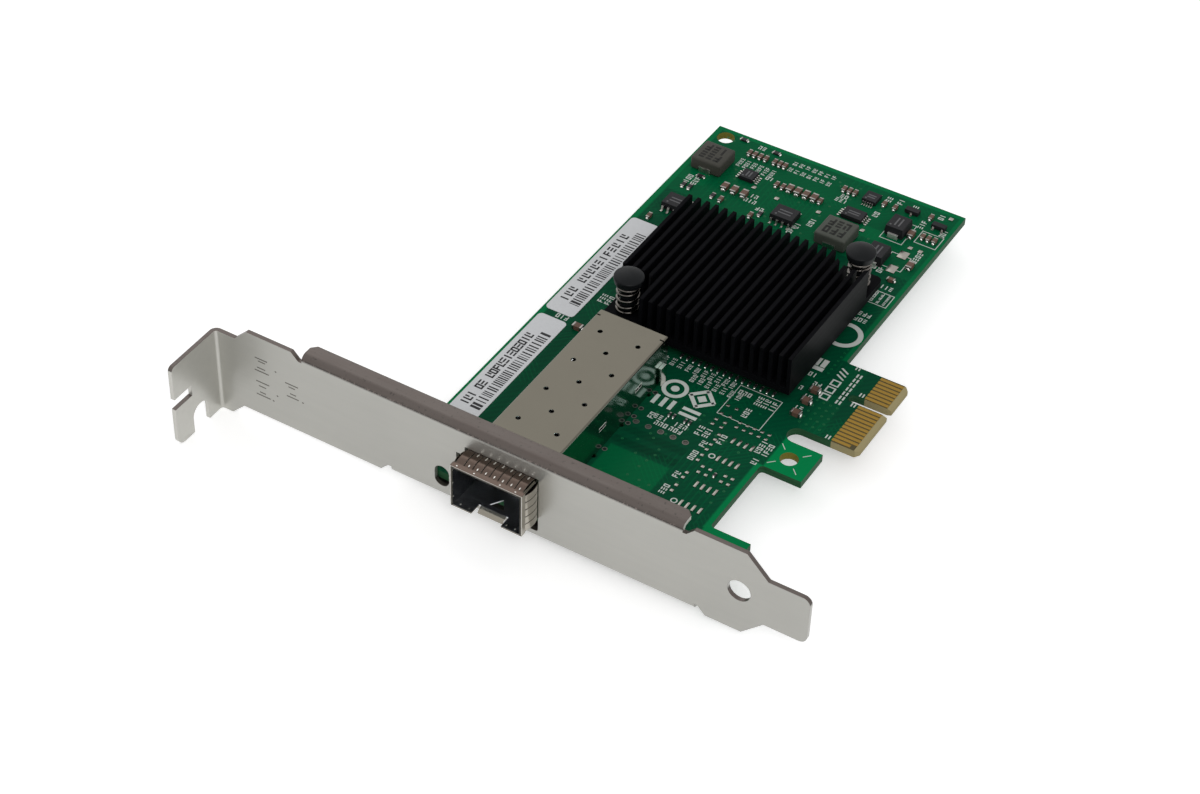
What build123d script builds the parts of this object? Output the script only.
"""Network interface card with one optical module port, full-height bracket and finned heatsink.

Sizes are in millimetres. While the pieces are drawn, X runs from the bracket's outer face along the
card, Y rises from the card edge to the board's top edge, and Z is the component side's normal with
Z = 0 on that face. Each finished piece is then shifted so that the origin is the centre of the key
notch at the insertion edge.
"""
from build123d import *
from math import atan2, cos, radians, sin, sqrt, tan
import os

# Board
BRACKET_TO_KEY = 57.15
BOARD_THICKNESS = 1.57
BOARD_FAR_X = 116.0
BOARD_TOP_Y = 68.15
BOARD_LOWER_Y = 13.0
BOARD_CORNER_R = 0.8
TAB_LOWER_Y = 5.05
EAR_END_X = 14.8
TAB_START_X = 32.9
TAB_END_X = 41.1
TONGUE_BEFORE_KEY = 12.15
TONGUE_AFTER_KEY = 8.15
TONGUE_START_X = BRACKET_TO_KEY - TONGUE_BEFORE_KEY
TONGUE_END_X = BRACKET_TO_KEY + TONGUE_AFTER_KEY
TONGUE_CHAMFER = 0.7
SLOT_TOP_Y = 13.15
KEY_WIDTH = 1.9
KEY_DEPTH = 8.2
BEVEL_LENGTH = 0.95
BEVEL_DEPTH = 0.35
CORNER_HOLE = (113.1, 65.15)
CORNER_HOLE_D = 3.6
TAB_HOLE = (36.9, 9.55)
TAB_HOLE_D = 3.4
HEADER_VIA_D = 0.9
HEADER_FIRST_VIA = (30.65, 37.2)
HEADER_PITCH = 2.54
HEADER_VIA_COUNT = 5

# Edge contacts
CONTACT_PITCH = 1.0
CONTACT_WIDTH = 0.7
CONTACT_TOP_Y = 5.6
CONTACT_FOIL = 0.05
CONTACTS_BEFORE_KEY = 11
CONTACTS_AFTER_KEY = 7
KEY_TO_FIRST_CONTACT = 1.5
SHORT_CONTACT_CUT = 1.0

# Bracket sheet
SHEET = 0.86
BEND_INNER_R = 0.6
BODY_TOP_Z = 13.87
BODY_WIDTH = 18.42
TONGUE_WIDTH = 10.19
TONGUE_LOW_Z = -0.55
TONGUE_TIP_Y = -13.55
TONGUE_CORNER_R = 1.5
SHOULDER_END_Y = -1.5
SEAT_Y = 106.45
NECK_SHIFT = 2.75
NECK_TOP_START_Y = 102.25
NECK_LOW_START_Y = 104.0
TAB_REACH = 12.6
TAB_OUTER_R = 1.8
FLANGE_DEPTH = 3.8
UPPER_FLANGE_Y = (10.6, 87.6)
LOWER_FLANGE_Y = (7.6, 69.0)
RELIEF_WIDTH = 2.2
RELIEF_FLOOR = 0.7
RELIEF_EXTRA = 0.1
RELIEF_R = 0.5
SCREW_SLOT_WIDTH = 4.42
SCREW_SLOT_X = -5.85
SCREW_SLOT_TOP_Z = -1.9
NARROW_NOTCH_Z = (1.4, 3.8)
NARROW_NOTCH_LENGTH = 4.8
ROUND_HOLE_D = 4.4
ROUND_HOLE_YZ = (-0.55, 4.75)
LAMP_WINDOW_YZ = (58.25, 0.3)
LAMP_WINDOW_SIZE = (3.0, 4.6)

# Bracket lugs and screws
LUG_WIDTH = 8.0
LUG_END_X = 12.0
LUG_Y = (17.0, 62.0)
LUG_SCREW_X = 7.8
LUG_RAMP_RUN_IN = 0.6
LUG_RAMP_ROOM = 0.03
SCREW_D = 2.9
SCREW_HOLE_D = 3.2
SCREW_HEAD_D = 5.6
SCREW_HEAD_H = 1.9
SCREW_LENGTH = 4.6
THREAD_CLEARANCE = 0.02
DRIVE_WIDTH = 0.9
DRIVE_DEPTH = 1.0

# Module cage
CAGE_Y = 45.95
CAGE_WIDTH = 14.25
CAGE_TOP_Z = 9.37
CAGE_LIFT = 0.1
CAGE_FRONT_X = -4.9
CAGE_BACK_X = 44.1
CAGE_WALL = 0.3
CAGE_BEND_R = 0.35
VENT_D = 0.95
VENT_FIRST_X = 11.45
VENT_PITCH = 9.1
VENT_ROW_Y = 3.95
CAGE_LEG = (0.75, 2.95)
CAGE_LEG_X = (9.5, 19.0, 28.5, 38.0)
CAGE_LEG_HOLE_D = 1.1
REAR_HOOK_X = (40.9, 42.7)
REAR_HOOK_OUT = 0.7
REAR_HOOK_TOP_Z = 4.3
SIDE_WINDOW = (1.9, 0.55)
SIDE_WINDOW_XZ = ((21.6, 4.8), (33.85, 4.8))
FLOOR_SHEET = 0.25
FLOOR_FIT = 0.04
FLOOR_BACK_X = 32.2
LATCH_WIDTH = 5.1
LATCH_NOTCH_LENGTH = 2.5
LATCH_SLIT = 0.45
LATCH_ROOT_RUN = 0.65
LATCH_ROOT_ANGLE = 20.0
LATCH_TIP_RUN = 0.75
LATCH_TIP_ANGLE = 38.0
LATCH_OPENING = (2.2, 2.9)
LATCH_OPENING_STEP = 0.95

# Spring-finger collar
COLLAR_SHEET = 0.12
COLLAR_BAND = 1.1
FINGER_LENGTH = 4.0
FINGER_BULGE = 0.42
FINGER_PITCH = 1.7
FINGER_SLOT = 0.16
TOP_FINGERS = 8
SIDE_FINGERS = 5

# Port cut-out: it clears the cage and the fingers that pass it, and steps out beside the lamps
PORT_FINGER_ROOM = COLLAR_SHEET + 0.2
PORT_LOW_Z = -2.65
PORT_CORNER_R = 0.5
PORT_STEP_OUT = 2.1
PORT_STEP_DROP = 1.75
PORT_CUTOUT_Y = (
    CAGE_Y - CAGE_WIDTH / 2 - PORT_FINGER_ROOM,
    CAGE_Y + CAGE_WIDTH / 2 + PORT_FINGER_ROOM,
)
PORT_CUTOUT_Z = (PORT_LOW_Z, CAGE_TOP_Z + PORT_FINGER_ROOM)
PORT_STEP_Y = (CAGE_Y, CAGE_Y + CAGE_WIDTH / 2 + PORT_STEP_OUT)
PORT_STEP_Z = (PORT_LOW_Z, CAGE_TOP_Z - PORT_STEP_DROP)

# Cage connector
PLUG_SIZE = (9.2, 12.0, 5.4)
PLUG_FRONT_X = 33.4
PLUG_SLOT = (6.5, 9.8, 1.3)
PLUG_SLOT_Z = 3.1
PLUG_CONTACT_PITCH = 0.8
PLUG_CONTACT_WIDTH = 0.35
PLUG_CONTACTS_PER_ROW = 10
PLUG_TAIL = 0.9

# Heatsink, chip and pad
SINK_X = (48.9, 80.5)
SINK_Y = (16.35, 55.55)
SINK_LOW_Z = 2.6
SINK_BASE = 1.4
SINK_TOP_Z = 11.0
FIN_COUNT = 21
FIN_THICKNESS = 0.75
EAR_REACH = 5.6
EAR_HEIGHT = 7.6
EAR_CORNER_R = 1.2
POCKET_SIZE = 7.1
POCKET_R = 2.5
PIN_XY = ((52.3, 52.05), (82.0, 19.65))
PIN_POCKET_R = 4.5
CHIP_SIZE = 25.0
CHIP_CAP_SIZE = 21.0
CHIP_CENTRE = (64.7, 35.95)
SUBSTRATE_THICKNESS = 1.1
CHIP_TOP_Z = 2.25

# Push pins and springs
PIN_HEAD_D = 5.9
PIN_HEAD_LOW_Z = 10.4
PIN_HEAD_H = 2.1
PIN_HEAD_DOME = 0.55
PIN_HEAD_EDGE = 0.35
PIN_SHAFT_D = 3.0
PIN_HOLE_D = 3.2
PIN_BARB_D = 3.8
PIN_TIP_D = 1.8
PIN_BARB_LENGTH = 2.7
PIN_SLIT = 0.6
SPRING_D = 4.0
SPRING_WIRE_D = 0.6
SPRING_PITCH = 1.35
SPRING_END_GAP = 0.05

# Power inductors
INDUCTOR_SIZE = 6.6
INDUCTOR_H = 2.9
INDUCTOR_EDGE = 0.45
INDUCTOR_CENTRES = ((103.8, 62.95), (96.1, 31.25))
INDUCTOR_FOOT = (1.6, 2.6)
TERMINAL_SHEET = 0.15
TERMINAL_RISE = 1.3

# Moulded packages: centre x, centre y, body length x, body length y, height
PACKAGE_LIFT = 0.12
PACKAGE_DRAFT = 7.0
SOIC_BODY = (3.9, 4.9, 1.6)
SOIC_SPAN = 6.0
SOIC_PITCH = 1.27
SOIC_LEADS_PER_SIDE = 4
SOIC_LEAD_WIDTH = 0.42
CONFIG_MEMORY_XY = (88.1, 62.15)
FLASH_MEMORY_XY = (96.4, 42.6)
MINI_BODY = (3.0, 3.0, 1.0)
MINI_SPAN = 4.9
REGULATOR_A_XY = (104.0, 54.85)
REGULATOR_B_XY = (110.9, 31.05)
SWITCH_BODY = (3.0, 4.4, 1.1)
SWITCH_SPAN = 6.4
SWITCH_XY = (104.2, 31.55)
FINE_PITCH = 0.65
FINE_LEADS_PER_SIDE = 4
FINE_LEAD_WIDTH = 0.3
FINEST_PITCH = 0.5
FINEST_LEADS_PER_SIDE = 5
FINEST_LEAD_WIDTH = 0.22
TRANSISTOR_BODY = (1.3, 2.9, 1.0)
TRANSISTOR_SPAN = 2.4
TRANSISTOR_PITCH = 1.9
TRANSISTOR_SPOTS = ((111.6, 22.45, 0), (110.1, 15.95, 180))
LEAD_FOOT = 0.55
LEAD_SHEET = 0.16
DIODE_BODY = (4.5, 3.9, 2.3)
DIODE_LEAD_WIDTH = 2.1
DIODE_LEAD_REACH = 0.45
DIODE_LEAD_SHEET = 0.2
DIODE_SPOTS = ((105.0, 22.3), (95.3, 22.0))

# Small two-ended parts: length, width, height, metal end length
LARGE_CAPACITOR = (2.0, 1.25, 1.0, 0.4)
SMALL_CAPACITOR = (1.6, 0.8, 0.75, 0.3)
RESISTOR = (1.6, 0.8, 0.45, 0.3)
TINY_RESISTOR = (1.0, 0.5, 0.35, 0.22)
SOLDER_REACH = 0.3

# Places of the small parts: an x and the ys of its column, or a y and the xs of its row
LARGE_CAPACITOR_COLUMNS = (
    (98.4, (57.1, 55.0, 52.8)),
    (104.8, (46.0, 44.2, 42.4, 40.6)),
    (96.2, (15.4,)),
    (105.0, (19.5,)),
)
LARGE_CAPACITOR_ROWS = ((14.0, (47.7, 51.6, 55.0)), (59.2, (46.5,)))
SMALL_CAPACITOR_COLUMNS = (
    (110.9, (58.4, 57.2, 55.95, 54.7, 52.7, 51.5, 50.4, 28.2, 25.9)),
    (110.8, (37.0, 35.8, 34.6)),
    (104.7, (48.9, 47.5, 39.2)),
    (105.7, (17.3, 16.05, 14.8)),
    (94.5, (55.9,)),
    (93.3, (48.6,)),
    (112.0, (18.6,)),
    (37.5, (54.3,)),
)
SMALL_CAPACITOR_ROWS = ((16.6, (90.6,)),)
RESISTOR_COLUMNS = ((94.9, (64.5, 63.1, 57.9, 47.3)),)
RESISTOR_ROWS = ((63.0, (99.0,)), (53.9, (113.9,)), (61.5, (114.3,)))
TINY_RESISTOR_COLUMNS = ((35.4, (33.0, 32.1, 29.75, 28.85)), (26.1, (18.5,)))
LONG_COLUMN_X = 50.4
LONG_COLUMN_FIRST_Y = 19.9
LONG_COLUMN_PITCH = 1.28
LONG_COLUMN_COUNT = 16

# Bare pads: foil height, sizes, then places as columns and rows
PAD_FOIL = 0.05
MEMORY_PAD = (1.6, 0.5)
MEMORY_PAD_XS = (17.0, 22.4, 30.2, 35.6)
MEMORY_PAD_FIRST_Y = 16.3
CHIP_PAD = (0.65, 0.65)
CHIP_PAD_COLUMNS = (
    (25.3, (21.35, 19.85, 16.8, 15.4)),
    (26.9, (21.35, 19.85, 16.8, 15.4)),
    (39.0, (21.35, 19.85, 18.4, 16.85, 15.4)),
    (40.35, (21.35, 19.85, 18.4, 16.85, 15.4)),
)
CHIP_PAD_ROWS = (
    (22.95, (18.8, 20.4, 22.7, 24.1, 27.9, 29.4, 31.1, 32.6, 34.1, 35.6)),
    (25.4, (37.5, 38.9, 40.7, 43.2)),
    (23.6, (37.5, 38.9, 40.7, 43.2)),
)
DIODE_PAD = (2.3, 1.9)
DIODE_PAD_ROWS = ((18.1, (94.0, 98.9)),)
TEST_PAD = (0.9, 0.9)
TEST_PAD_COLUMNS = (
    (101.8, (52.45, 38.05)),
    (101.1, (46.95,)),
    (101.4, (28.25,)),
    (101.6, (17.95, 15.8)),
    (114.0, (15.2,)),
)

# Labels, lamps, crystal
LABEL_SIZE = (32.2, 6.1)
LABEL_CORNER_R = 0.9
LABEL_SHEET = 0.12
LABEL_JOIN_X = 47.6
LABEL_GAP = 1.8
LABEL_CENTRE_Y = (64.5, 64.65)
LABEL_STEP = LABEL_SIZE[0] / 2 + LABEL_GAP / 2
LABEL_CENTRES = (
    (LABEL_JOIN_X - LABEL_STEP, LABEL_CENTRE_Y[0]),
    (LABEL_JOIN_X + LABEL_STEP, LABEL_CENTRE_Y[1]),
)
LABEL_END_CAPACITOR = (1.7, 65.05)
LAMP_SIZE = (1.6, 0.8, 0.7)
LAMP_SPOTS = ((4.6, 57.6), (4.6, 59.0))
CRYSTAL_SIZE = (5.0, 3.2, 1.1)
CRYSTAL_XY = (66.0, 58.55)

BOARD_FRONT_X = SHEET + 0.3
BODY_LOW_Z = BODY_TOP_Z - BODY_WIDTH
BEND_OUTER_R = BEND_INNER_R + SHEET
SINK_BASE_TOP_Z = SINK_LOW_Z + SINK_BASE
BOARD_BACK_Z = -BOARD_THICKNESS


def slab(x_range, y_range, z_range):
    """Box between two values on each axis."""
    size = [high - low for low, high in (x_range, y_range, z_range)]
    middle = [(high + low) / 2 for low, high in (x_range, y_range, z_range)]
    return Pos(*middle) * Box(*size)


def drill(x, y, diameter):
    """Plug that cuts one hole through the board."""
    return Pos(x, y, BOARD_BACK_Z / 2) * Cylinder(diameter / 2, BOARD_THICKNESS + 1)


def nearest(shape, *point):
    """Corner of a flat outline nearest to a point."""
    return shape.vertices().sort_by_distance(Vector(*point))[0]


def flat_rectangle(x_range, y_range):
    """Rectangle between two values on each axis, in the XY plane."""
    x_size = x_range[1] - x_range[0]
    y_size = y_range[1] - y_range[0]
    return Pos(x_range[0] + x_size / 2, y_range[0] + y_size / 2) * Rectangle(x_size, y_size)


def quarter_bend(length):
    """Quarter of a tube along Z: the bend of a sheet, with its centre line at the origin."""
    ring = Circle(BEND_OUTER_R) - Circle(BEND_INNER_R)
    quarter = ring & flat_rectangle((0, BEND_OUTER_R), (0, BEND_OUTER_R))
    return extrude(quarter, length)


def board_outline():
    """Stepped outline of the board, with its open slot, key notch and chamfered tongue."""
    slot_width = TONGUE_START_X - TAB_END_X
    slot_centre = ((TAB_END_X + TONGUE_START_X) / 2, SLOT_TOP_Y - slot_width / 2)
    outline = flat_rectangle((BOARD_FRONT_X, BOARD_FAR_X), (BOARD_LOWER_Y, BOARD_TOP_Y))
    outline += flat_rectangle((BOARD_FRONT_X, EAR_END_X), (TAB_LOWER_Y, BOARD_LOWER_Y))
    outline += flat_rectangle((TAB_START_X, TAB_END_X), (TAB_LOWER_Y, BOARD_LOWER_Y))
    outline += flat_rectangle((TONGUE_START_X, TONGUE_END_X), (0, BOARD_LOWER_Y))
    outline += flat_rectangle((TAB_END_X, TONGUE_START_X), (slot_centre[1], BOARD_LOWER_Y))
    outline -= Pos(*slot_centre) * Circle(slot_width / 2)
    key = flat_rectangle((-KEY_WIDTH / 2, KEY_WIDTH / 2), (-1, KEY_DEPTH - KEY_WIDTH / 2))
    key += Pos(0, KEY_DEPTH - KEY_WIDTH / 2) * Circle(KEY_WIDTH / 2)
    outline -= Pos(BRACKET_TO_KEY, 0) * key
    for x in (TONGUE_START_X, TONGUE_END_X):
        outline = chamfer(nearest(outline, x, 0), TONGUE_CHAMFER)
    for x in (EAR_END_X, TAB_START_X, TONGUE_END_X):
        outline = fillet(nearest(outline, x, BOARD_LOWER_Y), BOARD_CORNER_R)
    return outline


def edge_bevel(sign):
    """Wedge that slopes one face of the tongue towards the insertion edge."""
    face_z = 0 if sign > 0 else BOARD_BACK_Z
    wedge = Polyline(
        (0, face_z + sign),
        (BEVEL_LENGTH, face_z + sign),
        (BEVEL_LENGTH, face_z),
        (0, face_z - sign * BEVEL_DEPTH),
        close=True,
    )
    profile = Plane.YZ * make_face(wedge)
    length = TONGUE_END_X - TONGUE_START_X + 2
    return Pos(TONGUE_START_X - 1, 0, 0) * extrude(profile, length)


def header_vias():
    return [
        (HEADER_FIRST_VIA[0], HEADER_FIRST_VIA[1] - HEADER_PITCH * row)
        for row in range(HEADER_VIA_COUNT)
    ]


def cage_leg_spots():
    """Places where the cage's legs pass through the board."""
    side = CAGE_WIDTH / 2 - CAGE_WALL / 2
    return [(x, CAGE_Y + sign * side) for x in CAGE_LEG_X for sign in (-1, 1)]


def circuit_board():
    board = extrude(board_outline(), -BOARD_THICKNESS)
    for sign in (1, -1):
        board -= edge_bevel(sign)
    holes = [drill(*CORNER_HOLE, CORNER_HOLE_D), drill(*TAB_HOLE, TAB_HOLE_D)]
    holes += [drill(x, y, PIN_HOLE_D) for x, y in PIN_XY]
    holes += [drill(LUG_SCREW_X, y, SCREW_HOLE_D) for y in LUG_Y]
    holes += [drill(x, y, HEADER_VIA_D) for x, y in header_vias()]
    holes += [drill(x, y, CAGE_LEG_HOLE_D) for x, y in cage_leg_spots()]
    return board - holes


def edge_contacts(face_z, foil, short_index):
    """Row of contact pads on one face, with one pad cut short."""
    centres = [
        -KEY_TO_FIRST_CONTACT - CONTACT_PITCH * index for index in reversed(range(CONTACTS_BEFORE_KEY))
    ]
    centres += [KEY_TO_FIRST_CONTACT + CONTACT_PITCH * index for index in range(CONTACTS_AFTER_KEY)]
    pads = []
    for index, centre in enumerate(centres):
        low_y = BEVEL_LENGTH + (SHORT_CONTACT_CUT if index == short_index else 0)
        x = BRACKET_TO_KEY + centre
        z_range = sorted((face_z, face_z + foil))
        pads.append(
            slab((x - CONTACT_WIDTH / 2, x + CONTACT_WIDTH / 2), (low_y, CONTACT_TOP_Y), z_range)
        )
    return pads


def bracket_body_outline():
    """Outline of the bracket's face, drawn with Y across and Z up."""
    tongue_top = TONGUE_LOW_Z + TONGUE_WIDTH
    upper_step = BODY_TOP_Z - tongue_top
    lower_step = TONGUE_LOW_Z - BODY_LOW_Z
    corners = Polyline(
        (TONGUE_TIP_Y, TONGUE_LOW_Z),
        (SHOULDER_END_Y - lower_step, TONGUE_LOW_Z),
        (SHOULDER_END_Y, BODY_LOW_Z),
        (NECK_LOW_START_Y - NECK_SHIFT, BODY_LOW_Z),
        (NECK_LOW_START_Y, BODY_LOW_Z - NECK_SHIFT),
        (SEAT_Y - BEND_INNER_R, BODY_LOW_Z - NECK_SHIFT),
        (SEAT_Y - BEND_INNER_R, BODY_TOP_Z - NECK_SHIFT),
        (NECK_TOP_START_Y, BODY_TOP_Z - NECK_SHIFT),
        (NECK_TOP_START_Y - NECK_SHIFT, BODY_TOP_Z),
        (SHOULDER_END_Y, BODY_TOP_Z),
        (SHOULDER_END_Y - upper_step, tongue_top),
        (TONGUE_TIP_Y, tongue_top),
        close=True,
    )
    outline = make_face(corners)
    for z in (TONGUE_LOW_Z, tongue_top):
        outline = fillet(nearest(outline, TONGUE_TIP_Y, z), TONGUE_CORNER_R)
    return outline


def flange_clearance(y_range, edge_z, inward):
    """Strip and two sloped relief notches taken off the face where a flange is folded back."""
    strip_low = min(edge_z, edge_z + inward * BEND_OUTER_R)
    strip = flat_rectangle(y_range, (strip_low, strip_low + BEND_OUTER_R))
    notch_end = edge_z + inward * (BEND_OUTER_R + RELIEF_EXTRA)
    for y, outward in ((y_range[0], -1), (y_range[1], 1)):
        floor_y = y + outward * RELIEF_FLOOR
        mouth_y = y + outward * RELIEF_WIDTH
        corners = Polyline(
            (y, edge_z - inward),
            (y, notch_end),
            (floor_y, notch_end),
            (mouth_y, edge_z),
            (mouth_y, edge_z - inward),
            close=True,
        )
        relief = make_face(corners)
        strip += fillet(nearest(relief, floor_y, notch_end), RELIEF_R)
    return strip


def port_cutout():
    """Stepped opening for the cage, with rounded lower corners."""
    opening = flat_rectangle(PORT_CUTOUT_Y, PORT_CUTOUT_Z) + flat_rectangle(PORT_STEP_Y, PORT_STEP_Z)
    for y in (PORT_CUTOUT_Y[0], PORT_STEP_Y[1]):
        opening = fillet(nearest(opening, y, PORT_LOW_Z), PORT_CORNER_R)
    return opening


def bracket_face():
    """Flat face of the bracket with the port cut-out, the window and the round hole."""
    outline = bracket_body_outline()
    outline -= flange_clearance(UPPER_FLANGE_Y, BODY_TOP_Z, -1)
    outline -= flange_clearance(LOWER_FLANGE_Y, BODY_LOW_Z, 1)
    outline -= port_cutout()
    outline -= Pos(*ROUND_HOLE_YZ) * Circle(ROUND_HOLE_D / 2)
    window_length = LAMP_WINDOW_SIZE[1]
    outline -= Pos(*LAMP_WINDOW_YZ) * Rot(0, 0, 90) * SlotOverall(window_length, LAMP_WINDOW_SIZE[0])
    return Plane.YZ * outline


def bracket_flange(y_range, edge_z, inward):
    """Flange folded back from one long edge, with its bend and clipped ends."""
    length = y_range[1] - y_range[0]
    bend = Rot(90, 0, 0) * Rot(0, 0, 90) * quarter_bend(length)
    if inward > 0:
        bend = mirror(bend, Plane.XY)
    bend_z = edge_z + inward * BEND_OUTER_R
    bend = Pos(BEND_OUTER_R, y_range[1], bend_z) * bend
    clip = min(1.0, length / 4)
    shelf = Polyline(
        (BEND_OUTER_R, y_range[0]),
        (FLANGE_DEPTH - clip, y_range[0]),
        (FLANGE_DEPTH, y_range[0] + clip),
        (FLANGE_DEPTH, y_range[1] - clip),
        (FLANGE_DEPTH - clip, y_range[1]),
        (BEND_OUTER_R, y_range[1]),
        close=True,
    )
    shelf_solid = Pos(0, 0, edge_z) * extrude(make_face(shelf), inward * SHEET)
    return bend, shelf_solid


def screw_tab():
    """Tab folded outwards at the top, with its open screw slot and narrow notch."""
    low_z = BODY_LOW_Z - NECK_SHIFT
    high_z = BODY_TOP_Z - NECK_SHIFT
    outline = flat_rectangle((-TAB_REACH, -BEND_INNER_R), (low_z, high_z))
    outline = fillet(nearest(outline, -TAB_REACH, low_z), TAB_OUTER_R)
    outline = fillet(nearest(outline, -TAB_REACH, high_z), TAB_OUTER_R / 2)
    slot_r = SCREW_SLOT_WIDTH / 2
    slot_x = (SCREW_SLOT_X - slot_r, SCREW_SLOT_X + slot_r)
    outline -= flat_rectangle(slot_x, (low_z - 1, SCREW_SLOT_TOP_Z - slot_r))
    outline -= Pos(SCREW_SLOT_X, SCREW_SLOT_TOP_Z - slot_r) * Circle(slot_r)
    notch_x = (-TAB_REACH - 1, -TAB_REACH + NARROW_NOTCH_LENGTH)
    outline -= flat_rectangle(notch_x, NARROW_NOTCH_Z)
    plate = extrude(Plane.XZ * outline, -SHEET)
    plate = Pos(0, SEAT_Y, 0) * plate
    bend = Pos(-BEND_INNER_R, SEAT_Y - BEND_INNER_R, low_z) * quarter_bend(high_z - low_z)
    return bend, plate


def lug_profile():
    """Section of a mounting lug: from the lower flange up to the board's back."""
    low = BODY_LOW_Z
    high = BOARD_BACK_Z - SHEET
    ramp_start = FLANGE_DEPTH + LUG_RAMP_RUN_IN
    ramp_end = LUG_SCREW_X - SCREW_D / 2 - LUG_RAMP_ROOM
    slope = atan2(high - low, ramp_end - ramp_start)
    shift = SHEET * tan(slope / 2)
    section = Polyline(
        (FLANGE_DEPTH, low),
        (ramp_start, low),
        (ramp_end, high),
        (LUG_END_X, high),
        (LUG_END_X, high + SHEET),
        (ramp_end - shift, high + SHEET),
        (ramp_start - shift, low + SHEET),
        (FLANGE_DEPTH, low + SHEET),
        close=True,
    )
    return make_face(section)


def bracket():
    """Whole bracket: one folded sheet with its lugs for the board's screws."""
    sheet = extrude(bracket_face(), SHEET)
    for part in bracket_flange(UPPER_FLANGE_Y, BODY_TOP_Z, -1):
        sheet += part
    for part in bracket_flange(LOWER_FLANGE_Y, BODY_LOW_Z, 1):
        sheet += part
    for part in screw_tab():
        sheet += part
    for y in LUG_Y:
        lug = Pos(0, y + LUG_WIDTH / 2, 0) * extrude(Plane.XZ * lug_profile(), LUG_WIDTH)
        hole = Pos(LUG_SCREW_X, y, BOARD_BACK_Z - SHEET / 2)
        lug -= hole * Cylinder(SCREW_D / 2 + THREAD_CLEARANCE, SHEET * 3)
        sheet += lug
    return sheet


def bracket_screw(y):
    """Pan-head screw with a cross recess, seated on the board."""
    head = Pos(0, 0, SCREW_HEAD_H / 2) * Cylinder(SCREW_HEAD_D / 2, SCREW_HEAD_H)
    head = fillet(head.edges().sort_by(Axis.Z)[-1], SCREW_HEAD_H * 0.35)
    for angle in (0, 90):
        blade = Rot(0, 0, angle) * Box(SCREW_HEAD_D * 0.55, DRIVE_WIDTH, DRIVE_DEPTH * 2)
        head -= Pos(0, 0, SCREW_HEAD_H) * blade
    shank = Pos(0, 0, -SCREW_LENGTH / 2) * Cylinder(SCREW_D / 2, SCREW_LENGTH)
    return Pos(LUG_SCREW_X, y, 0) * (head + shank)


def cage_shell_section():
    """Upside-down channel: the cage's top and two sides."""
    half = CAGE_WIDTH / 2
    height = (CAGE_LIFT, CAGE_TOP_Z)
    outer = flat_rectangle((-half, half), height)
    outer = fillet([nearest(outer, side, CAGE_TOP_Z) for side in (-half, half)], CAGE_BEND_R)
    inner = flat_rectangle((CAGE_WALL - half, half - CAGE_WALL), (-1, CAGE_TOP_Z - CAGE_WALL))
    return outer - inner


def vent_spots():
    """Three staggered rows of vent holes in the cage's top."""
    outer_rows = [
        (VENT_FIRST_X + VENT_PITCH * index, CAGE_Y + side * VENT_ROW_Y)
        for index in range(4)
        for side in (-1, 1)
    ]
    middle_row = [(VENT_FIRST_X + VENT_PITCH * (index + 0.5), CAGE_Y) for index in range(3)]
    return outer_rows + middle_row


def module_cage():
    """Folded shell of the cage, with vents, side windows, board legs and rear hooks."""
    length = CAGE_BACK_X - CAGE_FRONT_X
    shell = Pos(CAGE_FRONT_X, CAGE_Y, 0) * extrude(Plane.YZ * cage_shell_section(), length)
    half = CAGE_WIDTH / 2 - CAGE_WALL
    back = slab(
        (CAGE_BACK_X - CAGE_WALL, CAGE_BACK_X),
        (CAGE_Y - half, CAGE_Y + half),
        (CAGE_LIFT, CAGE_TOP_Z - CAGE_WALL),
    )
    shell += back
    leg_width, leg_length = CAGE_LEG
    for x, y in cage_leg_spots():
        leg_z = (CAGE_LIFT - leg_length, CAGE_LIFT)
        leg_y = (y - CAGE_WALL / 2, y + CAGE_WALL / 2)
        shell += slab((x - leg_width / 2, x + leg_width / 2), leg_y, leg_z)
    cuts = [
        Pos(x, y, CAGE_TOP_Z) * Cylinder(VENT_D / 2, 4 * CAGE_WALL) for x, y in vent_spots()
    ]
    for x, z in SIDE_WINDOW_XZ:
        cuts.append(Pos(x, CAGE_Y, z) * Box(SIDE_WINDOW[0], CAGE_WIDTH + 1, SIDE_WINDOW[1]))
    for side in (-1, 1):
        corner_y = CAGE_Y + side * (CAGE_WIDTH / 2)
        slit_x = CAGE_BACK_X - 5 * CAGE_WALL
        cuts.append(Pos(slit_x, corner_y, CAGE_TOP_Z) * Box(CAGE_WALL, 6 * CAGE_WALL, 6 * CAGE_WALL))
    shell -= cuts
    for side in (-1, 1):
        inner_y = CAGE_Y + side * (CAGE_WIDTH / 2 - CAGE_WALL / 2)
        outer_y = CAGE_Y + side * (CAGE_WIDTH / 2 + REAR_HOOK_OUT)
        bridge_z = (REAR_HOOK_TOP_Z - CAGE_WALL, REAR_HOOK_TOP_Z)
        shell += slab(REAR_HOOK_X, sorted((inner_y, outer_y)), bridge_z)
        plate_y = sorted((outer_y, outer_y - side * CAGE_WALL))
        shell += slab(REAR_HOOK_X, plate_y, (CAGE_LIFT, REAR_HOOK_TOP_Z))
    return shell


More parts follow.
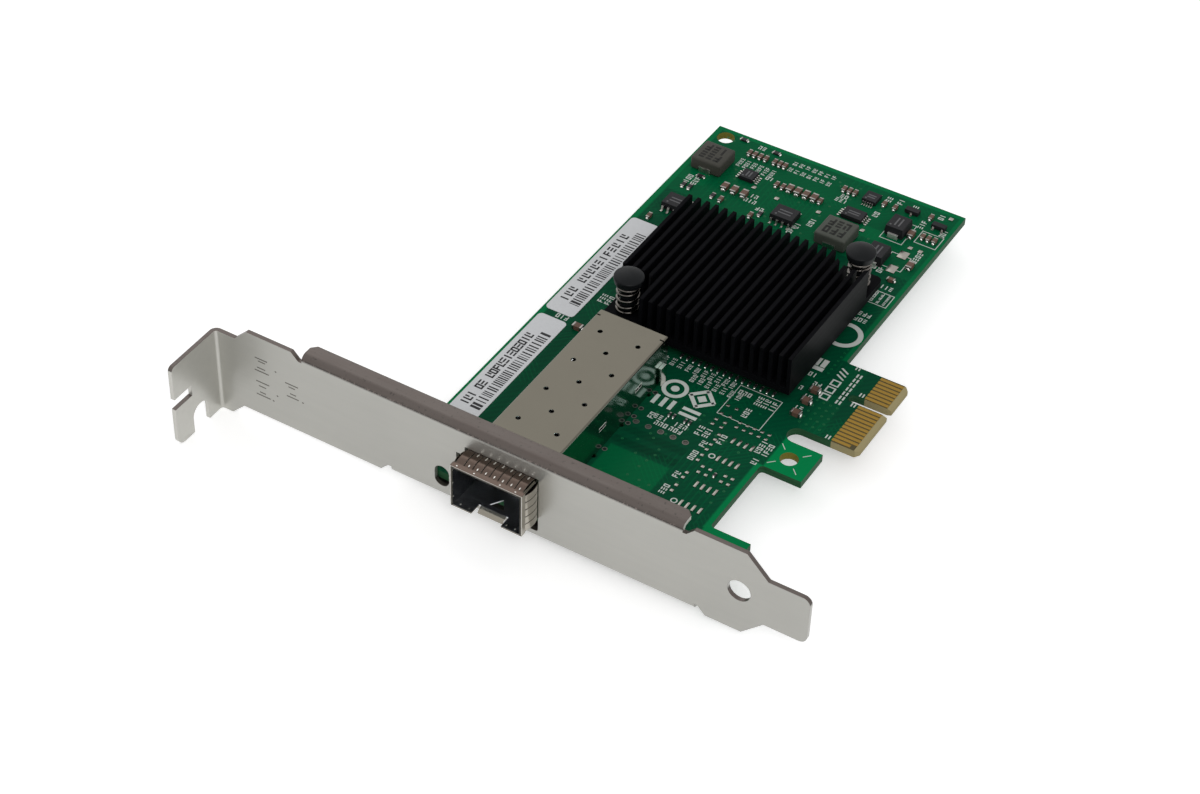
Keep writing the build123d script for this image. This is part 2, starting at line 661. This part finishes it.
def cage_floor():
    """Floor of the cage with its latch tongue and triangular latch opening."""
    half = CAGE_WIDTH / 2 - CAGE_WALL - FLOOR_FIT
    plan = flat_rectangle((CAGE_FRONT_X, FLOOR_BACK_X), (-half, half))
    latch_root_x = CAGE_FRONT_X + LATCH_NOTCH_LENGTH
    cut_half = LATCH_WIDTH / 2 + LATCH_SLIT
    plan -= flat_rectangle((CAGE_FRONT_X - 1, latch_root_x), (-cut_half, cut_half))
    opening_length, opening_width = LATCH_OPENING
    opening_x = latch_root_x + LATCH_OPENING_STEP
    triangle = Polyline(
        (opening_x, -opening_width / 2),
        (opening_x + opening_length, 0),
        (opening_x, opening_width / 2),
        close=True,
    )
    plan -= make_face(triangle)
    floor = extrude(plan, FLOOR_SHEET)
    return Pos(0, CAGE_Y, CAGE_LIFT) * (floor + latch_tongue(latch_root_x))


def latch_tongue(root_x):
    """Bent tongue in the floor's notch: it slopes down from its root and more steeply at its tip."""
    lower = [(root_x, 0)]
    runs = ((LATCH_ROOT_RUN, LATCH_ROOT_ANGLE), (LATCH_TIP_RUN, LATCH_TIP_ANGLE))
    for run, angle in runs:
        x, z = lower[-1]
        lower.append((x - run * cos(radians(angle)), z - run * sin(radians(angle))))
    upper = [(x, z + FLOOR_SHEET) for x, z in reversed(lower)]
    side = make_face(Polyline(*lower, *upper, close=True))
    return extrude(Plane.XZ * side, LATCH_WIDTH / 2, both=True)


def finger():
    """One bowed spring finger, running along X and bulging along Z, one pitch wide less its slot."""
    width = FINGER_PITCH - FINGER_SLOT
    crest_x = FINGER_LENGTH * 0.45
    outer = ThreePointArc(
        (0, COLLAR_SHEET),
        (crest_x, FINGER_BULGE + COLLAR_SHEET),
        (FINGER_LENGTH, COLLAR_SHEET + 0.05),
    )
    inner = ThreePointArc((0, 0), (crest_x, FINGER_BULGE), (FINGER_LENGTH, 0.05))
    profile = make_face(outer + inner + Line(outer @ 0, inner @ 0) + Line(outer @ 1, inner @ 1))
    return extrude(Plane.XZ * profile, width / 2, both=True)


def finger_collar():
    """Thin spring collar round the cage mouth: a band in front and fingers behind it."""
    half = CAGE_WIDTH / 2
    low_z = CAGE_LIFT
    height = CAGE_TOP_Z - low_z
    band_outer = flat_rectangle(
        (-half - COLLAR_SHEET, half + COLLAR_SHEET), (low_z, CAGE_TOP_Z + COLLAR_SHEET)
    )
    band = band_outer - flat_rectangle((-half, half), (low_z - 1, CAGE_TOP_Z))
    collar = Pos(CAGE_FRONT_X, CAGE_Y, 0) * extrude(Plane.YZ * band, COLLAR_BAND)
    root_x = CAGE_FRONT_X + COLLAR_BAND
    strip = finger()
    for index in range(TOP_FINGERS):
        y = CAGE_Y + (index - (TOP_FINGERS - 1) / 2) * FINGER_PITCH
        collar += Pos(root_x, y, CAGE_TOP_Z) * strip
    for index in range(SIDE_FINGERS):
        z = low_z + height / 2 + (index - (SIDE_FINGERS - 1) / 2) * FINGER_PITCH
        collar += Pos(root_x, CAGE_Y + half, z) * Rot(-90, 0, 0) * strip
        collar += Pos(root_x, CAGE_Y - half, z) * Rot(90, 0, 0) * strip
    return collar


def cage_connector():
    """Moulded connector body with its card slot, seated at the back of the cage."""
    length, width, height = PLUG_SIZE
    body = slab(
        (PLUG_FRONT_X, PLUG_FRONT_X + length),
        (CAGE_Y - width / 2, CAGE_Y + width / 2),
        (0, height),
    )
    top_edges = body.edges().group_by(Axis.Z)[-1]
    body = chamfer(top_edges, 0.3)
    slot_length, slot_width, slot_height = PLUG_SLOT
    body -= slab(
        (PLUG_FRONT_X - 1, PLUG_FRONT_X + slot_length),
        (CAGE_Y - slot_width / 2, CAGE_Y + slot_width / 2),
        (PLUG_SLOT_Z - slot_height / 2, PLUG_SLOT_Z + slot_height / 2),
    )
    return body


def connector_contacts():
    """Solder tails of the connector's two rows, in front of and behind its body."""
    tails = []
    front_x = (PLUG_FRONT_X - PLUG_TAIL, PLUG_FRONT_X)
    back_x = PLUG_FRONT_X + PLUG_SIZE[0]
    for index in range(PLUG_CONTACTS_PER_ROW):
        y = CAGE_Y + (index - (PLUG_CONTACTS_PER_ROW - 1) / 2) * PLUG_CONTACT_PITCH
        y_range = (y - PLUG_CONTACT_WIDTH / 2, y + PLUG_CONTACT_WIDTH / 2)
        tails.append(slab(front_x, y_range, (0, 2 * LEAD_SHEET)))
        tails.append(slab((back_x, back_x + PLUG_TAIL), y_range, (0, 2 * LEAD_SHEET)))
    return tails


def heatsink():
    """Extruded heatsink: base plate with one ear, straight fins and two corner pockets."""
    base_z = (SINK_LOW_Z, SINK_BASE_TOP_Z)
    ear_x = SINK_X[1] + EAR_REACH
    plan = flat_rectangle(SINK_X, SINK_Y)
    plan += flat_rectangle((SINK_X[1], ear_x), (SINK_Y[0], SINK_Y[0] + EAR_HEIGHT))
    for y in (SINK_Y[0], SINK_Y[0] + EAR_HEIGHT):
        plan = fillet(nearest(plan, ear_x, y), EAR_CORNER_R)
    base = Pos(0, 0, base_z[0]) * extrude(plan, SINK_BASE)
    pitch = (SINK_Y[1] - SINK_Y[0] - FIN_THICKNESS) / (FIN_COUNT - 1)
    fins = []
    for index in range(FIN_COUNT):
        low_y = SINK_Y[0] + index * pitch
        fins.append(slab(SINK_X, (low_y, low_y + FIN_THICKNESS), (SINK_BASE_TOP_Z, SINK_TOP_Z)))
    fin_height = SINK_TOP_Z - SINK_BASE_TOP_Z
    pocket_plan = flat_rectangle(
        (SINK_X[0] - 1, SINK_X[0] + POCKET_SIZE), (SINK_Y[1] - POCKET_SIZE, SINK_Y[1] + 1)
    )
    pocket_corner = (SINK_X[0] + POCKET_SIZE, SINK_Y[1] - POCKET_SIZE)
    pocket_plan = fillet(nearest(pocket_plan, *pocket_corner), POCKET_R)
    pocket_plan += Pos(*PIN_XY[1]) * Circle(PIN_POCKET_R)
    pocket = Pos(0, 0, SINK_BASE_TOP_Z) * extrude(pocket_plan, fin_height + 1)
    sink = base
    for fin in fins:
        rest = fin - pocket
        sink += rest
    for x, y in PIN_XY:
        sink -= Pos(x, y, SINK_LOW_Z) * Cylinder(PIN_HOLE_D / 2, 4 * SINK_BASE)
    return sink


def controller_substrate():
    half = CHIP_SIZE / 2
    x, y = CHIP_CENTRE
    return slab((x - half, x + half), (y - half, y + half), (0, SUBSTRATE_THICKNESS))


def controller_cap():
    """Moulded cap of the controller, with sloping sides."""
    plan = Pos(*CHIP_CENTRE) * Rectangle(CHIP_CAP_SIZE, CHIP_CAP_SIZE)
    rise = CHIP_TOP_Z - SUBSTRATE_THICKNESS
    return Pos(0, 0, SUBSTRATE_THICKNESS) * extrude(plan, rise, taper=PACKAGE_DRAFT)


def thermal_pad():
    half = CHIP_CAP_SIZE / 2 - 1
    x, y = CHIP_CENTRE
    return slab((x - half, x + half), (y - half, y + half), (CHIP_TOP_Z, SINK_LOW_Z))


def push_pin(x, y):
    """Turned push pin: domed head, shaft, and a split barb that snaps under the board."""
    shaft_r = PIN_SHAFT_D / 2
    head_r = PIN_HEAD_D / 2
    head_top = PIN_HEAD_LOW_Z + PIN_HEAD_H
    rim_z = head_top - PIN_HEAD_DOME
    barb_z = BOARD_BACK_Z - 0.05
    tip_z = barb_z - PIN_BARB_LENGTH
    dome_r = (head_r**2 + PIN_HEAD_DOME**2) / (2 * PIN_HEAD_DOME)
    dome_half_z = head_top - dome_r + sqrt(dome_r**2 - (head_r / 2) ** 2)
    dome = ThreePointArc((head_r, rim_z), (head_r / 2, dome_half_z), (0, head_top))
    half = Polyline(
        (0, head_top),
        (0, tip_z),
        (PIN_TIP_D / 2, tip_z),
        (PIN_BARB_D / 2, barb_z - 0.5),
        (PIN_BARB_D / 2, barb_z),
        (shaft_r, barb_z),
        (shaft_r, PIN_HEAD_LOW_Z),
        (head_r - PIN_HEAD_EDGE, PIN_HEAD_LOW_Z),
        (head_r, rim_z),
    )
    outline = fillet(nearest(make_face(half + dome), head_r, rim_z), PIN_HEAD_EDGE)
    pin = revolve(Plane.XZ * outline, Axis.Z)
    slit_z = (tip_z - 1, BOARD_BACK_Z + BOARD_THICKNESS / 2)
    pin -= slab((-PIN_SLIT / 2, PIN_SLIT / 2), (-PIN_HEAD_D, PIN_HEAD_D), slit_z)
    return Pos(x, y, 0) * pin


def push_pin_spring(x, y):
    """Coil spring between the heatsink's base and the pin's head."""
    low = SINK_BASE_TOP_Z + SPRING_WIRE_D / 2 + SPRING_END_GAP
    high = PIN_HEAD_LOW_Z - SPRING_WIRE_D / 2 - SPRING_END_GAP
    coil = Helix(SPRING_PITCH, high - low, SPRING_D / 2)
    wire = Plane(coil @ 0, z_dir=coil % 0) * Circle(SPRING_WIRE_D / 2)
    return Pos(x, y, low) * sweep(wire, path=coil, is_frenet=True)


def inductor_body(x, y):
    """Square moulded inductor with softened upright edges and top."""
    height = INDUCTOR_H - TERMINAL_SHEET
    body = Pos(0, 0, TERMINAL_SHEET + height / 2) * Box(INDUCTOR_SIZE, INDUCTOR_SIZE, height)
    body = fillet(body.edges().filter_by(Axis.Z), INDUCTOR_EDGE)
    body = chamfer(body.faces().sort_by(Axis.Z)[-1].edges(), INDUCTOR_EDGE / 3)
    return Pos(x, y, 0) * body


def inductor_terminals(x, y):
    """Two folded feet that wrap from the inductor's underside up its ends."""
    foot_length, foot_width = INDUCTOR_FOOT
    side = INDUCTOR_SIZE / 2
    y_range = (-foot_width / 2, foot_width / 2)
    feet = []
    for sign in (-1, 1):
        outer = sign * (side + TERMINAL_SHEET)
        foot = slab(sorted((outer, sign * (side - foot_length))), y_range, (0, TERMINAL_SHEET))
        rise = slab(sorted((outer, sign * side)), y_range, (0, TERMINAL_RISE))
        feet.append(Pos(x, y, 0) * (foot + rise))
    return feet


def moulded_body(x, y, size):
    """Chip body that slopes in towards its top and underside from a parting line."""
    length, width, height = size
    plan = Rectangle(length, width)
    middle = PACKAGE_LIFT + (height - PACKAGE_LIFT) / 2
    upper = extrude(plan, height - middle, taper=PACKAGE_DRAFT)
    lower = extrude(plan, PACKAGE_LIFT - middle, taper=PACKAGE_DRAFT)
    return Pos(x, y, middle) * (upper + lower)


def gull_lead(body_edge, reach, shoulder_z, width):
    """Bent lead from a body's edge at +X down to a flat foot on the board."""
    knee = body_edge + 0.25 * (reach - body_edge)
    heel = reach - LEAD_FOOT
    half = LEAD_SHEET / 2
    section = Polyline(
        (body_edge, shoulder_z - half),
        (knee, shoulder_z - half),
        (heel, 0),
        (reach, 0),
        (reach, LEAD_SHEET),
        (heel + half, LEAD_SHEET),
        (knee + half, shoulder_z + half),
        (body_edge, shoulder_z + half),
        close=True,
    )
    return extrude(Plane.XZ * make_face(section), width / 2, both=True)


def lead_rows(x, y, size, span, pitch, per_side, along_y, width):
    """Two rows of gull-wing leads; along_y sets whether they reach out along Y or along X."""
    length, thickness, height = size
    middle = PACKAGE_LIFT + (height - PACKAGE_LIFT) / 2
    edge = (thickness if along_y else length) / 2
    lead = gull_lead(edge, span / 2, middle, width)
    turn = 90 if along_y else 0
    leads = []
    for side in (0, 180):
        for index in range(per_side):
            shift = (index - (per_side - 1) / 2) * pitch
            leads.append(Pos(x, y, 0) * Rot(0, 0, turn + side) * Pos(0, shift, 0) * lead)
    return leads


def transistor_leads(x, y, angle):
    """Three leads: two on one side and one on the other."""
    edge = TRANSISTOR_BODY[0] / 2
    middle = PACKAGE_LIFT + (TRANSISTOR_BODY[2] - PACKAGE_LIFT) / 2
    lead = gull_lead(edge, TRANSISTOR_SPAN / 2, middle, 0.42)
    spots = [(0, TRANSISTOR_PITCH / 2), (0, -TRANSISTOR_PITCH / 2), (180, 0)]
    turn = Pos(x, y, 0) * Rot(0, 0, angle)
    return [turn * Rot(0, 0, side) * Pos(0, shift, 0) * lead for side, shift in spots]


def diode_body(x, y):
    """Power diode body, narrowed towards its top."""
    length, width, height = DIODE_BODY
    plan = Rectangle(length, width)
    middle = height * 0.45
    foot = DIODE_LEAD_SHEET
    upper = extrude(plan, height - middle, taper=PACKAGE_DRAFT)
    lower = extrude(plan, foot - middle, taper=PACKAGE_DRAFT / 2)
    return Pos(x, y, middle) * (upper + lower)


def diode_leads(x, y):
    """Two leads that leave the ends at mid height and fold under the body."""
    length, _, height = DIODE_BODY
    edge = length / 2
    outer = edge + DIODE_LEAD_REACH
    sheet = DIODE_LEAD_SHEET
    top = height * 0.45
    y_range = (-DIODE_LEAD_WIDTH / 2, DIODE_LEAD_WIDTH / 2)
    leads = []
    for sign in (-1, 1):
        upright = slab(sorted((sign * (outer - sheet), sign * outer)), y_range, (0, top))
        arm = slab(sorted((sign * edge, sign * outer)), y_range, (top - sheet, top))
        foot = slab(sorted((sign * (edge - 1.0), sign * outer)), y_range, (0, sheet))
        leads.append(Pos(x, y, 0) * (upright + arm + foot))
    return leads


def chip_bodies(spots, size):
    """Middles of small two-ended parts; a spot is x, y and whether it stands along Y."""
    length, width, height, end = size
    bodies = []
    for x, y, upright in spots:
        body = Pos(0, 0, height / 2) * Box(length - 2 * end, width, height)
        bodies.append(Pos(x, y, 0) * Rot(0, 0, 90 if upright else 0) * body)
    return bodies


def chip_ends(spots, size):
    """Metal ends of small two-ended parts, each with its sloping solder."""
    length, width, height, end = size
    side = Polyline(
        (length / 2 - end, 0),
        (length / 2 + SOLDER_REACH, 0),
        (length / 2, height * 0.6),
        (length / 2, height),
        (length / 2 - end, height),
        close=True,
    )
    metal = extrude(Plane.XZ * make_face(side), width / 2, both=True)
    ends = []
    for x, y, upright in spots:
        place = Pos(x, y, 0) * Rot(0, 0, 90 if upright else 0)
        ends += [place * metal, place * Rot(0, 0, 180) * metal]
    return ends


def spots(columns=(), rows=()):
    """Places from columns of parts laid along X and rows of parts laid along Y."""
    places = [(x, y, False) for x, ys in columns for y in ys]
    return places + [(x, y, True) for y, xs in rows for x in xs]


def small_capacitor_spots():
    """Small capacitors, with the one at the end of the second label."""
    end_x = LABEL_CENTRES[1][0] + LABEL_SIZE[0] / 2 + LABEL_END_CAPACITOR[0]
    places = spots(SMALL_CAPACITOR_COLUMNS, SMALL_CAPACITOR_ROWS)
    return places + [(end_x, LABEL_END_CAPACITOR[1], False)]


def tiny_resistor_spots():
    """Long column beside the heatsink, and two short ones nearer the cage."""
    ys = [LONG_COLUMN_FIRST_Y + LONG_COLUMN_PITCH * index for index in range(LONG_COLUMN_COUNT)]
    return spots((*TINY_RESISTOR_COLUMNS, (LONG_COLUMN_X, ys)))


def pad_set(size, places):
    return [(x, y, size) for x, y, _ in places]


def bare_pad_spots():
    """Solder pads of parts that are not fitted."""
    rows = range(SOIC_LEADS_PER_SIDE)
    memory_ys = [MEMORY_PAD_FIRST_Y + SOIC_PITCH * index for index in rows]
    pads = pad_set(MEMORY_PAD, spots([(x, memory_ys) for x in MEMORY_PAD_XS]))
    pads += pad_set(CHIP_PAD, spots(CHIP_PAD_COLUMNS, CHIP_PAD_ROWS))
    pads += pad_set(DIODE_PAD, spots((), DIODE_PAD_ROWS))
    return pads + pad_set(TEST_PAD, spots(TEST_PAD_COLUMNS))


def bare_pads():
    foil = (0, PAD_FOIL)
    pads = []
    for x, y, (length, width) in bare_pad_spots():
        x_range = (x - length / 2, x + length / 2)
        pads.append(slab(x_range, (y - width / 2, y + width / 2), foil))
    return pads


def paper_label(x, y):
    sheet = extrude(RectangleRounded(*LABEL_SIZE, LABEL_CORNER_R), LABEL_SHEET)
    return Pos(x, y, 0) * sheet


def link_lamps():
    """Two surface-mount lamps behind the bracket's oval window."""
    length, width, height = LAMP_SIZE
    lamps = []
    for x, y in LAMP_SPOTS:
        foot = Box(length, width, height / 2)
        lens = Pos(0, 0, height / 4) * extrude(Rectangle(length * 0.7, width), height / 2, taper=8)
        lamps.append(Pos(x, y, height / 4) * (foot + lens))
    return lamps


def crystal():
    """Flat metal-lidded crystal."""
    length, width, height = CRYSTAL_SIZE
    base = Pos(0, 0, height * 0.2) * Box(length, width, height * 0.4)
    lid_plan = RectangleRounded(length - 0.5, width - 0.5, 0.4)
    lid = Pos(0, 0, height * 0.4) * extrude(lid_plan, height * 0.6)
    return Pos(*CRYSTAL_XY, 0) * (base + lid)


def build_nodes():
    """Every node's name and its solid or list of solids."""
    front_short = 0
    back_short = CONTACTS_BEFORE_KEY + CONTACTS_AFTER_KEY - 2
    large = spots(LARGE_CAPACITOR_COLUMNS, LARGE_CAPACITOR_ROWS)
    small = small_capacitor_spots()
    resistors = spots(RESISTOR_COLUMNS, RESISTOR_ROWS)
    tiny = tiny_resistor_spots()
    nodes = {
        "circuit_board": circuit_board(),
        "edge_contacts_front": edge_contacts(0, CONTACT_FOIL, front_short),
        "edge_contacts_back": edge_contacts(BOARD_BACK_Z, -CONTACT_FOIL, back_short),
        "bracket": bracket(),
        "bracket_screws": [bracket_screw(y) for y in LUG_Y],
        "module_cage": module_cage(),
        "cage_floor": cage_floor(),
        "finger_collar": finger_collar(),
        "cage_connector": cage_connector(),
        "connector_contacts": connector_contacts(),
        "heatsink": heatsink(),
        "thermal_pad": thermal_pad(),
        "controller_substrate": controller_substrate(),
        "controller_cap": controller_cap(),
        "config_memory_body": moulded_body(*CONFIG_MEMORY_XY, SOIC_BODY),
        "flash_memory_body": moulded_body(*FLASH_MEMORY_XY, SOIC_BODY),
        "regulator_a_body": moulded_body(*REGULATOR_A_XY, MINI_BODY),
        "regulator_b_body": moulded_body(*REGULATOR_B_XY, MINI_BODY),
        "power_switch_body": moulded_body(*SWITCH_XY, SWITCH_BODY),
        "large_capacitor_bodies": chip_bodies(large, LARGE_CAPACITOR),
        "large_capacitor_ends": chip_ends(large, LARGE_CAPACITOR),
        "small_capacitor_bodies": chip_bodies(small, SMALL_CAPACITOR),
        "small_capacitor_ends": chip_ends(small, SMALL_CAPACITOR),
        "resistor_bodies": chip_bodies(resistors, RESISTOR) + chip_bodies(tiny, TINY_RESISTOR),
        "resistor_ends": chip_ends(resistors, RESISTOR) + chip_ends(tiny, TINY_RESISTOR),
        "bare_pads": bare_pads(),
        "link_lamps": link_lamps(),
        "crystal": crystal(),
    }
    memory_row = (SOIC_SPAN, SOIC_PITCH, SOIC_LEADS_PER_SIDE, False, SOIC_LEAD_WIDTH)
    fine_row = (FINE_PITCH, FINE_LEADS_PER_SIDE, True, FINE_LEAD_WIDTH)
    finest_row = (FINEST_PITCH, FINEST_LEADS_PER_SIDE, False, FINEST_LEAD_WIDTH)
    nodes["config_memory_leads"] = lead_rows(*CONFIG_MEMORY_XY, SOIC_BODY, *memory_row)
    nodes["flash_memory_leads"] = lead_rows(*FLASH_MEMORY_XY, SOIC_BODY, *memory_row)
    nodes["regulator_a_leads"] = lead_rows(*REGULATOR_A_XY, MINI_BODY, MINI_SPAN, *fine_row)
    nodes["regulator_b_leads"] = lead_rows(*REGULATOR_B_XY, MINI_BODY, MINI_SPAN, *finest_row)
    nodes["power_switch_leads"] = lead_rows(*SWITCH_XY, SWITCH_BODY, SWITCH_SPAN, *fine_row)
    for number, (x, y) in enumerate(PIN_XY, start=1):
        nodes[f"push_pin_{number}"] = push_pin(x, y)
        nodes[f"push_pin_spring_{number}"] = push_pin_spring(x, y)
    for number, (x, y) in enumerate(INDUCTOR_CENTRES, start=1):
        nodes[f"inductor_{number}_body"] = inductor_body(x, y)
        nodes[f"inductor_{number}_terminals"] = inductor_terminals(x, y)
    for number, (x, y) in enumerate(DIODE_SPOTS, start=1):
        nodes[f"diode_{number}_body"] = diode_body(x, y)
        nodes[f"diode_{number}_leads"] = diode_leads(x, y)
    for number, (x, y, angle) in enumerate(TRANSISTOR_SPOTS, start=1):
        nodes[f"transistor_{number}_body"] = moulded_body(x, y, TRANSISTOR_BODY)
        nodes[f"transistor_{number}_leads"] = transistor_leads(x, y, angle)
    for number, (x, y) in enumerate(LABEL_CENTRES, start=1):
        nodes[f"paper_label_{number}"] = paper_label(x, y)
    return nodes


def main():
    os.makedirs("parts", exist_ok=True)
    to_key = Pos(-BRACKET_TO_KEY, 0, 0)
    for name, shape in build_nodes().items():
        pieces = shape if isinstance(shape, list) else [shape]
        moved = [to_key * piece for piece in pieces]
        node = moved[0] if len(moved) == 1 else Compound(children=moved)
        export_step(node, f"parts/{name}.step")


main()
